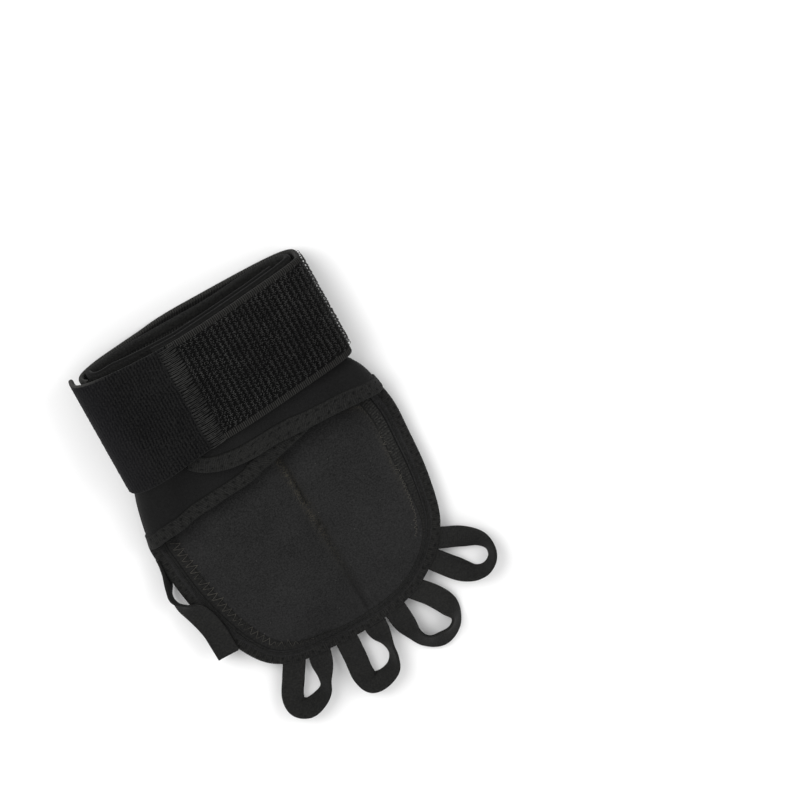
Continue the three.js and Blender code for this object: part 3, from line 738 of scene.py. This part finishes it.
def edge_binding():
    """Folded tape round the edge: a section |cos|^0.7 out and |sin|^0.7 up, with ribs and needle pits."""
    step = 0.19
    end = RIGHT_SHARE + 0.009
    share = mix(LEFT_SHARE, end, even_shares(lambda s: outline_point(mix(LEFT_SHARE, end, s), 0), step))
    along = lengths(outline_point(share, 0))
    angle = np.linspace(0, 2 * np.pi, 29)[:-1]
    out = np.sign(np.cos(angle)) * np.abs(np.cos(angle)) ** 0.7
    up = np.sign(np.sin(angle)) * np.abs(np.sin(angle)) ** 0.7
    swell = 1 + 0.05 * np.sin(along / 5.3) + 0.04 * np.sin(along / 2.1 + 1)
    dots = pits(along[:, None], out * 2.3, 4.8, (-0.6, 1.0), 0.4) * (up > 0)
    grow = 1 + (ribs(along, 0.95, 0.1)[:, None] - 0.3 * dots) / 2.5
    # Painted light: highlights and shade on the ribs, painted shade in the needle holes, and painted shade on
    # the side facing the pad, in the groove by the welt
    shade = rib_shade(along, 0.95, 0.07)[:, None] - 0.85 * dots - 0.85 * (out < -0.85)
    inset = BINDING_WIDTH / 2 * (1 - out * grow)
    plan = outline_point(share[:, None] + 0 * inset, inset)
    droop = 0.5 * smooth(out, 0, 1)
    z = EDGE_HEIGHT + up * grow * BINDING_HEIGHT / 2 * swell[:, None] * 0.97 - droop * np.maximum(up, 0)
    points = np.concatenate([plan, z[..., None]], -1)
    rows, loop = points.shape[:2]
    faces = grid_faces(rows, loop, wrap_columns=True)
    ends = [np.arange(loop)[::-1], (rows - 1) * loop + np.arange(loop)]
    return make("edge_binding", points.reshape(-1, 3), [*faces, *ends], [binding], shade=shade)


edge_binding()


def inset_path(start, end, inset, step):
    """Shares of the outline between two shares at which its inset line's points are a step apart."""
    shares = even_shares(lambda s: outline_point(mix(start, end, s), inset), step)
    return mix(start, end, shares)


def welts():
    """Two thin piped ridges between binding and pad; the inner one sinks out of sight on the right."""
    share = inset_path(LEFT_SHARE + 0.01, RIGHT_SHARE - 0.012, 5.6, 0.9)
    lines = []
    for inset in (5.5, 6.7):
        edge = on_pad(outline_point(share, inset), 0.1 if inset < 6 else -0.1)
        if inset > 6:
            edge[:, 2] -= 1.2 * smooth(share, 0.36, 0.42)
        lines.append(edge)
    return strands("edge_welt", np.stack(lines), 0.52, 8, binding)


welts()


def trim_band():
    """Ribbed tape between the welt and the zigzag, 0.35 mm proud of the pad."""
    share = inset_path(LEFT_SHARE + 0.004, RIGHT_SHARE + 0.006, 7, 0.28)
    inset = spaced(5.2, 0.5, 0.25)
    full = 1 - 0.82 * smooth(share, 0.38, 0.5) * (1 - smooth(share, 0.62, 0.76))
    plan = outline_point(share[:, None] + 0 * inset, 6.7 + inset * full[:, None])
    outer = on_pad(plan, 0.35)
    along = lengths(outer[:, 3])[:, None]
    band = np.abs(inset - inset.mean())[None, :]
    # Painted light: highlights and shade on the ribs, painted shade in the groove along the outer edge and on
    # the band's two edges; the specks are pale dust
    ribbed = 0.04 + 0.04 * smooth(share, 0.68, 0.8)[:, None]
    shade = rib_shade(along, 1.25, 0.8) * ribbed * (band < 2.1) - 0.85 * (inset < 0.4)
    specks = np.maximum(drift(along, 1.6 * inset, 1.5, 31, 1), 0) * smooth(share, 0.64, 0.78)[:, None]
    shade = shade + 0.16 * specks - 0.2 * (band > 2.2)
    return slab("edge_trim", outer, 0.6, [binding], relief=ribs(along, 1.25, 0.16) + 0 * inset, shade=shade)


trim_band()


def zigzag():
    """Zigzag over the trim's inner edge from hole to hole: wide at the thumb, small and sunk at the right."""
    t = np.linspace(0, 1, 7)
    runs = []
    thumb_side = (LEFT_SHARE + 0.012, 0.47, 1.6, -0.15)
    right_side = (0.64, RIGHT_SHARE - 0.03, 0.9, 0.26)
    for start, end, step, sunk in (thumb_side, right_side):
        share = inset_path(start, end, 9.5, step)
        share = share + random.normal(0, 0.0004, len(share))
        wide = mix(4.8, 3.4, smooth(share, 0.25, 0.36)) * (1 - 0.6 * smooth(share, 0.4, 0.47))
        wide = wide + random.normal(0, 0.35, len(share))
        inset = 8.4 + 2.2 * (sunk > 0) + np.where(np.arange(len(share)) % 2 == 0, 0, wide)
        holes = outline_point(share, inset)
        plan = holes[:-1, None] + (holes[1:] - holes[:-1])[:, None] * t[:, None]
        low = sunk * (1 + 0.5 * (sunk > 0) * random.normal(0, 1, len(plan)))[:, None]
        runs.append(on_pad(plan, 0.4 * np.sin(np.pi * t) ** 0.5 - low))
    return strands("zigzag_stitches", np.concatenate(runs), 0.15, 6, pale_thread, taper=0.3)


zigzag()


# Cuff: two wings with their hems and rims
def oval(degrees, power):
    """Superellipse: how far out and up an angle is, sign(cos) |cos|^(2 / power) and the same of sin."""
    angle = np.radians(degrees)
    return tuple(np.sign(f) * np.abs(f) ** (2 / power) for f in (np.cos(angle), np.sin(angle)))


def cuff_point(y, degrees, drop):
    """Point of the cuff's section at a place along the glove and an angle from +X; drop lowers its top.

    x runs from left to right with the oval's out, and z from the middle to the top or underside with its up.
    Under the tape the top falls towards the right by 0.23 of the way past x = -12, and the underside rises
    towards the left. At the wrist end the underside rises to 12 mm, and on the right it falls to 3.1 mm.
    """
    y, degrees = np.broadcast_arrays(np.asarray(y, float), np.asarray(degrees, float))
    row = {column: read(CUFF, "y", y, column) for column in ("left", "right", "middle", "top", "under")}
    out, up = oval(degrees, CUFF_POWER)
    x = mix(row["left"], row["right"], (1 + out) / 2)
    tight = smooth(y, 36, STRAP_NEAR)
    beyond = np.maximum(0, x + 12)
    top = row["top"] - tight * 0.23 * beyond
    middle = row["middle"] - smooth(y, 48, STRAP_NEAR) * 0.08 * beyond
    flat = row["under"] + tight * 0.26 * np.maximum(0, -8 - x)
    lifted = np.maximum(flat, mix(12, 3.1, smooth(x, 0, 42)))
    under = mix(flat, lifted, smooth(y, 66, 100))
    z = np.where(up > 0, mix(middle, top, up), mix(middle, np.minimum(under, middle), -up))
    lowered = np.where(up > 0, drop * smooth(x, -50, -40) * smooth(up, 0.2, 0.8), 0)
    return np.stack([x, y, z - lowered], -1)


def wing_start(y, side):
    """Angle where a wing starts: at the body's side by the hem, at the middle of the back past the body."""
    left, right = read(CUFF, "y", y, "left"), read(CUFF, "y", y, "right")
    x = read(BACK_EDGE, "y", y, "left" if side < 0 else "right")
    out = np.clip((2 * (x - left)) / (right - left) - 1, -1, 1)
    angle = np.degrees(np.arccos(np.sign(out) * np.abs(out) ** (CUFF_POWER / 2)))
    return 360 - angle if side < 0 else -angle


def soften(values, reach):
    """Running mean of a row of values over a number of its neighbours on each side."""
    ends = np.concatenate([np.full(reach, values[0]), values, np.full(reach, values[-1])])
    return np.convolve(ends, np.ones(2 * reach + 1) / (2 * reach + 1), "valid")


START_Y = np.linspace(10, CUFF_FAR + 1, 400)
STARTS = {side: soften(soften(wing_start(START_Y, side), 10), 10) for side in (-1, 1)}


def wing_end(y, side):
    """Angle where a wing's flap ends."""
    return mix(66, 40, smooth(y, 60, 100)) if side < 0 else mix(118, 108, smooth(y, 50, CUFF_FAR))


def hem_edge(share, side, column="y"):
    """Place along the glove of a wing's lower edge at a share of its way round, or the hem's width there."""
    reach = mix(np.interp(20, START_Y, STARTS[side]), wing_end(40, side), share)
    x = cuff_point(34, reach, 0)[..., 0]
    return read(rounded(LEFT_HEM_EDGE if side < 0 else RIGHT_HEM_EDGE, "x"), "x", x, column)


def wing_surface(share, y, side):
    """Outer face of a wing at shares of its way round and places along the glove, with soft folds."""
    angle = mix(np.interp(y, START_Y, STARTS[side]), wing_end(y, side), share)
    point = cuff_point(y, angle, LAYER_DROP if side < 0 else 0)
    above = smooth(point[..., 2], 14, 24)
    fold = 0.5 * drift(point[..., 0] * 0.6, y * 1.5, 20, 11 + side) * above * smooth(y, 30, 36)
    fold = fold * (1 - smooth(y, 52, 56))
    return point + np.array([0, 0, 1]) * fold[..., None]


def wing_strip(name, side, low, high, thickness, step, across, materials, rib=None, stitch=None):
    """Strip of a wing between two distances from its lower edge, or from the wrist end where negative."""
    def place(share, distance):
        if distance < 0 or high == 0 and distance == 0:
            return CUFF_FAR + distance
        wider = hem_edge(share, side, "width") - HEM_WIDTH if distance > 0 else 0
        return hem_edge(share, side) + distance + wider

    def at(share, part):
        y = mix(place(share, low), place(share, high), part)
        return wing_surface(share, y, side)

    share = even_shares(lambda s: at(s, 0.5 + 0 * s), step)[:, None]
    width = np.linalg.norm(at(0.7, 1.0) - at(0.7, 0.0))
    part = spaced(width, across, min(thickness / 2, width / 2.2))[None, :] / width
    outer = at(share, part)
    along = lengths(outer[:, len(part[0]) // 2])[:, None]
    relief = 0 * along * part
    shade = 0 * relief
    if rib:
        edge = np.minimum(part, 1 - part) * width
        relief = relief + ribs(along, rib, 0.08)
        # Painted light: highlights and shade on the ribs, painted shade along the strip's edges where it
        # meets the next part, and painted shade on the rims' low side and wrist end, inside the cuff
        shade = shade + rib_shade(along, rib, 0.06) - 0.7 * (edge < 0.6)
        shade = shade - (0.12 + 0.5 * smooth(16 - outer[..., 2], 0, 4)) * smooth(outer[..., 1], 60, 90)
    if stitch:
        dots = pits(along, part * width, 4.6, (width * 0.3, width * 0.72), 0.5)
        relief = relief - 0.35 * dots
        # Painted shade in the needle holes
        shade = shade - 0.85 * dots
    if side > 0:
        outer, relief, shade = outer[::-1], relief[::-1], shade[::-1]
    bulge = (thickness - NEOPRENE) / 2
    normal = unit(np.cross(np.gradient(outer, axis=0), np.gradient(outer, axis=1)))
    return slab(name, outer + normal * bulge, thickness, materials, relief=relief,
                rounding=min(1.5, thickness / 2), shade=shade)


for side, word in ((-1, "left"), (1, "right")):
    wing = wing_strip(f"{word}_wing", side, HEM_WIDTH - 2, 1.5 - RIM_WIDTH, NEOPRENE - 0.3, 0.9, 0.9,
                      [neoprene, twill])
    hem = wing_strip(f"{word}_hem", side, 0, HEM_WIDTH, HEM_THICKNESS, 0.2, 0.4, [binding], rib=1.0,
                     stitch=True)
    rim = wing_strip(f"{word}_rim", side, -RIM_WIDTH, 0, RIM_THICKNESS, 0.24, 0.4, [binding], rib=1.1)


# Wrist tapes
def strap_point(degrees):
    """Outer face of the wrist tape at an angle from +X: a flatter superellipse below than above."""
    degrees = np.asarray(degrees, float)
    lower = (degrees > 180) | (degrees < 0)
    out_low, up_low = oval(degrees, FLOOR_POWER)
    out_top, up_top = oval(degrees, TOP_POWER)
    out, up = np.where(lower, out_low, out_top), np.where(lower, up_low, up_top)
    x = mix(STRAP_LEFT, STRAP_RIGHT, (1 + out) / 2)
    middle, top = read(STRAP, "x", x, "middle"), read(STRAP, "x", x, "top")
    return np.stack([x, np.where(up > 0, mix(middle, top, up), middle * (1 + up))], -1)


def strap_angle(x, upper):
    """Angle where the tape's top or floor side passes a place across the glove."""
    out = (2 * (x - STRAP_LEFT)) / (STRAP_RIGHT - STRAP_LEFT) - 1
    power = TOP_POWER if upper else FLOOR_POWER
    angle = math.degrees(math.acos(math.copysign(abs(out) ** (power / 2), out)))
    return angle if upper else 360 - angle


def tape_grid(line, step, across, splay=0.0):
    """Outer face of a tape whose path in x and z runs over the strap's width, with its step along the path.

    splay is how far its finger-side edge runs out at the thumb side: it grows as smooth(-x, 14, 60).
    """
    path = np.stack([line[:, 0], line[:, 1]], -1)
    shares = np.linspace(0, 1, int(lengths(path)[-1] / step) + 1)
    spot = walk(path, shares)
    out = splay * smooth(-spot[:, None, 0], 14, 60) * (1 - across / TAPE_WIDTH)
    y = STRAP_NEAR + across - out
    return np.stack([spot[:, None, 0] + 0 * y, y, spot[:, None, 1] + 0 * y], -1)


def arc(low, high, steps=600):
    """Places of the strap's outer face between two angles."""
    return strap_point(np.linspace(low, high, steps))


ACROSS = spaced(TAPE_WIDTH, 0.6, TAPE / 2)
velour_line = arc(VELOUR_START, strap_angle(TAPE_JOINT_X - GAP / 2, True))
velour_grid = tape_grid(velour_line, 0.45, ACROSS, splay=5.5)


def velour_tape():
    """Velour tape: pile wales across the tape, about 1.5 mm apart, broken by random tufts."""
    outer = velour_grid
    along = lengths(outer[:, 0])[:, None]
    across = ACROSS[None, :]
    wales = 0.07 * np.sin(2 * np.pi * (along + 0.9 * drift(along, across, 9, 21)) / 1.5)
    tufts = 0.12 * drift(along * 1.4, across * 0.8, 1.3, 22, 1)
    # The tape is paler within 0.5 mm of its cut end and its wrist-side edge over the first 12 to 30 mm, and
    # paler where the tufts stand higher
    pale_edge = (np.minimum(along, TAPE_WIDTH - across) < 0.5) * (1 - smooth(along, 12, 30))
    return slab("wrist_strap", outer, TAPE, [velour, twill], relief=wales + tufts,
                shade=0.3 * tufts + 0.25 * pale_edge)


strap = velour_tape()

hook_start = arc(strap_angle(TAPE_JOINT_X + GAP, True), -90)
hook_end = spline(np.stack([HOOK_INNER_END["x"], HOOK_INNER_END["z"]], -1))
hook_line = np.vstack([hook_start, hook_end])
SELVEDGE = 2.7


def hook_tape():
    """Ground of the hook tape: fine ribs along its columns, and beads on its two selvedges."""
    border = spaced(2 * SELVEDGE, 0.4, TAPE / 2)[:-4]
    inner = np.linspace(border[-1] + 3, TAPE_WIDTH - border[-1] - 3, 14)
    columns = np.concatenate([border, inner, TAPE_WIDTH - border[::-1]])
    outer = tape_grid(hook_line, 0.34, columns)
    along = lengths(outer[:, 0])[:, None]
    edge = np.minimum(columns, TAPE_WIDTH - columns)[None, :]
    wide = np.where(columns < TAPE_WIDTH / 2, SELVEDGE + 1, SELVEDGE)[None, :]
    beads = ribs(along, 0.95, 0.2) * (edge < wide)
    ground = 0.07 * np.sin(2 * np.pi * along / 1.7) * (edge >= wide)
    # Painted light on the selvedges, which are also made a little paler: highlights on the bead tops, shade
    # between them, and painted shade along the line where the hooks begin
    shade = (0.1 + rib_shade(along, 0.95, 0.2)) * (edge < wide) - 0.4 * (abs(edge - wide) < 0.4)
    # Inner face: a paler rope edge with painted highlights on its beads, and the rest darkened as painted
    # shade inside the cuff
    rope_and_painted_shade = 0.12 * (edge < 1.2) + rib_shade(along, 0.95, 0.12) * (edge < 1.6) - 0.25 * (edge > 1.6)
    return slab("hook_tape", outer, TAPE, [hook_ground, twill], relief=beads + ground, inner_relief=beads,
                shade=shade, inner_shade=rope_and_painted_shade)


hooks_ground = hook_tape()

# One hook's line: how far it goes up, over and to the side
HOOK = table(
    "up over side",
    (-0.2, -0.5, 0), (0.7, -0.5, 0.05), (1.05, -0.4, 0.28), (1.15, -0.1, 0.5), (1.15, 0.22, 0.46),
    (1.1, 0.46, 0.2), (1.0, 0.48, -0.12), (0.85, 0.32, -0.36),
)
COLUMN_PITCH = 2.6
ROW_PITCH = 1.75


def hook_field():
    """Nylon hooks in columns across the tape, in pairs: each is a small tube that rises and curls round."""
    length = lengths(hook_line)
    last = lengths(arc(strap_angle(TAPE_JOINT_X + GAP, True), -38))[-1]
    along = np.arange(5.0, last, COLUMN_PITCH)
    across = np.arange(SELVEDGE + 1.9, TAPE_WIDTH - SELVEDGE - 0.3, ROW_PITCH)
    s, v, hand = np.meshgrid(along, across, (-1.0, 1.0), indexing="ij")
    v = v + ROW_PITCH / 2 * (np.arange(len(along)) % 2)[:, None, None] + ROW_PITCH / 4 * hand
    s = (s + 0.56 * hand + random.normal(0, 0.07, s.shape)).ravel()
    v = (v + random.normal(0, 0.1, v.shape)).ravel()
    hand = hand.ravel()[:, None]
    spot = walk(hook_line, s / length[-1])
    ahead, behind = walk(hook_line, (s + 0.5) / length[-1]), walk(hook_line, (s - 0.5) / length[-1])
    slope = unit(ahead - behind)
    base = np.stack([spot[:, 0], STRAP_NEAR + v, spot[:, 1]], -1)
    up = np.stack([-slope[:, 1], 0 * v, slope[:, 0]], -1)
    up = unit(up + random.normal(0, 0.12, up.shape))
    over = unit(np.stack([0 * v, 1 + 0 * v, 0 * v], -1) * hand + random.normal(0, 0.2, up.shape))
    side = np.cross(up, over)
    tall = random.uniform(0.85, 1.1, len(v))[:, None, None]
    paths = base[:, None] + tall * sum(
        HOOK[column][:, None] * way[:, None] for column, way in (("up", up), ("over", over), ("side", side))
    )
    return strands("hooks", paths, 0.14, 4, nylon)


hooks = hook_field()


def satin_bar():
    """Bar of dense satin stitches over the joint: each thread arches 8 mm across it."""
    count = int(TAPE_WIDTH / BAR_PITCH)
    y = STRAP_NEAR + 0.4 + np.arange(count) * BAR_PITCH + random.normal(0, 0.05, count)
    t = np.linspace(0, 1, 9)
    low = TAPE_JOINT_X - BAR_WIDTH / 2 + random.normal(0, 0.22, count)
    high = TAPE_JOINT_X + BAR_WIDTH / 2 + random.normal(0, 0.22, count)
    x = mix(low[:, None], high[:, None], t)
    line = arc(strap_angle(TAPE_JOINT_X - 8, True), strap_angle(TAPE_JOINT_X + 8, True))
    z = np.interp(x, line[:, 0], line[:, 1])
    z = z - 0.1 + 0.75 * np.sin(np.pi * t) ** 0.4 + random.uniform(-0.08, 0.12, count)[:, None]
    turn = np.where(np.arange(count) % 2 == 0, 0.8, 0.1) + random.normal(0, 0.16, count)
    slant = (t - 0.5) * turn[:, None]
    paths = np.stack([x, y[:, None] + slant, z], -1)
    return strands("strap_seam", paths, 0.25, 8, thread, taper=0.6)


bar = satin_bar()


# Finger loops
def ribbon_surface(rows, share, across):
    """Outer face of a ribbon, its width turned from flat by the lean.

    side = tangent x up, width = side cos(lean) + up sin(lean), and normal = tangent x width.
    """
    line = loop_line(rows)
    spot = walk(line, share)
    tangent = slopes(line, share, 0.012)
    up = np.array([0, 0, 1.0])
    side = unit(np.cross(tangent, up))
    lean = np.radians(spot[:, 3])[:, None]
    width = side * np.cos(lean) + up * np.sin(lean)
    normal = unit(np.cross(tangent, width))
    curl = 0.25 * (2 * across / RIBBON_WIDTH - 1) ** 2
    centre = spot[:, None, :3] + width[:, None] * (across - RIBBON_WIDTH / 2)[None, :, None]
    return centre + normal[:, None] * (RIBBON / 2 - curl)[None, :, None]


def loop_line(rows):
    """A loop's middle line with its lean; where it is sewn in, it runs 3 mm on under the edge binding."""
    line = spline(np.stack([rows["x"], rows["y"], rows["z"], rows["lean"]], -1))
    before = line[0] + unit(line[0, :3] - line[6, :3])[None] @ np.eye(3, 4) * 3.0
    after = line[-1] + unit(line[-1, :3] - line[-7, :3])[None] @ np.eye(3, 4) * 3.0
    return np.vstack([before, line, after if rows is not LOOPS["thumb_loop"] else line[-1:]])


def finger_loop(name, rows):
    """Grosgrain loop: a slab along the table's line, with ribs 0.9 mm apart and a thin selvedge."""
    total = lengths(loop_line(rows))[-1]
    share = np.linspace(0, 1, int(total / 0.2))
    across = spaced(RIBBON_WIDTH, 0.7, RIBBON / 2, 3)
    outer = ribbon_surface(rows, share, across)
    along = share[:, None] * total
    edge = np.minimum(across, RIBBON_WIDTH - across)[None, :]
    rib = ribs(along, 0.9, 0.12) * smooth(edge, 0.4, 0.9) + 0 * edge
    lean = np.abs(np.sin(np.radians(walk(loop_line(rows), share)[:, 3])))[:, None]
    # Painted shade where the ribbon stands up on edge, painted highlights and shade on the ribs, and a
    # slightly paler selvedge
    shade = rib_shade(along, 0.9, 0.05) + 0.1 * (edge < 0.6) - 0.5 * smooth(lean, 0.35, 0.95)
    return slab(name, outer, RIBBON, [grosgrain], relief=rib, inner_relief=rib, shade=shade), total


for name, rows in LOOPS.items():
    loop, length = finger_loop(name, rows)

# What each piece stands for. Where model.glb has a part of a piece's name, that part is hidden and renamed
# with _cad, and the piece takes its name
SLOTS = {
    "neoprene": ("back_shell", "left_wing", "right_wing"),
    "jersey_panel": ("weight_pad",),
    "binding_tape": (
        "edge_binding", "left_hem", "right_hem", "left_rim", "right_rim", "edge_welt", "edge_trim",
    ),
    "velour_tape": ("wrist_strap",),
    "hook_tape": ("hook_tape", "hooks"),
    "thread": ("strap_seam", "zigzag_stitches"),
    "ribbon": tuple(LOOPS),
}
for slot_name, names in SLOTS.items():
    for name in names:
        shown = next(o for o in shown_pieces() if o.name.split(".")[0] == name and "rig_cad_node" not in o)
        if name in frame["nodes"]:
            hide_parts(name)
            frame["nodes"][name].name = name + "_cad"
            shown.name = name

# Floor, light and camera
floor_material = bpy.data.materials.new("floor")
floor_material.use_nodes = True
floor_material.node_tree.nodes["Principled BSDF"].inputs["Base Color"].default_value = (0.9, 0.9, 0.9, 1)
floor_material.node_tree.nodes["Principled BSDF"].inputs["Roughness"].default_value = 1.0
floor_mesh = bpy.data.meshes.new("floor")
corners = [(-4, -4, -0.0002), (4, -4, -0.0002), (4, 4, -0.0002), (-4, 4, -0.0002)]
floor_mesh.from_pydata(corners, [], [(0, 1, 2, 3)])
floor_mesh.materials.append(floor_material)
floor = bpy.data.objects.new("floor", floor_mesh)
bpy.context.scene.collection.objects.link(floor)
floor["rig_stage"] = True

scene = bpy.context.scene
scene.view_settings.view_transform = "Standard"
world = bpy.data.worlds.new("studio")
world.use_nodes = True
world.node_tree.nodes["Background"].inputs["Color"].default_value = (1, 1, 1, 1)
world.node_tree.nodes["Background"].inputs["Strength"].default_value = 0.75
scene.world = world


def softbox(name, place, aim, size, power):
    """Square area light that faces a point."""
    light = bpy.data.lights.new(name, "AREA")
    light.size = size
    light.energy = power
    lamp = bpy.data.objects.new(name, light)
    lamp.location = place
    lamp.rotation_euler = (Vector(aim) - Vector(place)).to_track_quat("-Z", "Y").to_euler()
    scene.collection.objects.link(lamp)
    lamp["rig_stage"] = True


softbox("key", (-0.5, 0.9, 1.1), (0, 0, 0), 0.8, 14)
softbox("fill", (0.9, 0.2, 1.0), (0, 0, 0), 0.9, 5)

# The view is 21 degrees off the vertical, and the glove lies turned by 29 degrees in it
TURN = math.radians(29)
TILT = math.radians(21)
back = Vector((0, math.sin(TILT), math.cos(TILT)))
flat_y = Vector((0, math.cos(TILT), -math.sin(TILT)))
right = math.cos(TURN) * Vector((1, 0, 0)) - math.sin(TURN) * flat_y
up = math.sin(TURN) * Vector((1, 0, 0)) + math.cos(TURN) * flat_y
DISTANCE = 7.0
VIEW_WIDTH = 0.339
OFF_CENTRE = 0.04237
camera = bpy.data.objects.new("camera", bpy.data.cameras.new("camera"))
camera.data.sensor_width = 36
camera.data.lens = 36 * DISTANCE / VIEW_WIDTH
camera.data.clip_end = 20
spot = Vector((0, 0.0019, 0.005)) + OFF_CENTRE * (right + up) + DISTANCE * back
camera.matrix_world = Matrix.Translation(spot) @ Matrix((right, up, back)).transposed().to_4x4()
scene.collection.objects.link(camera)
scene.camera = camera
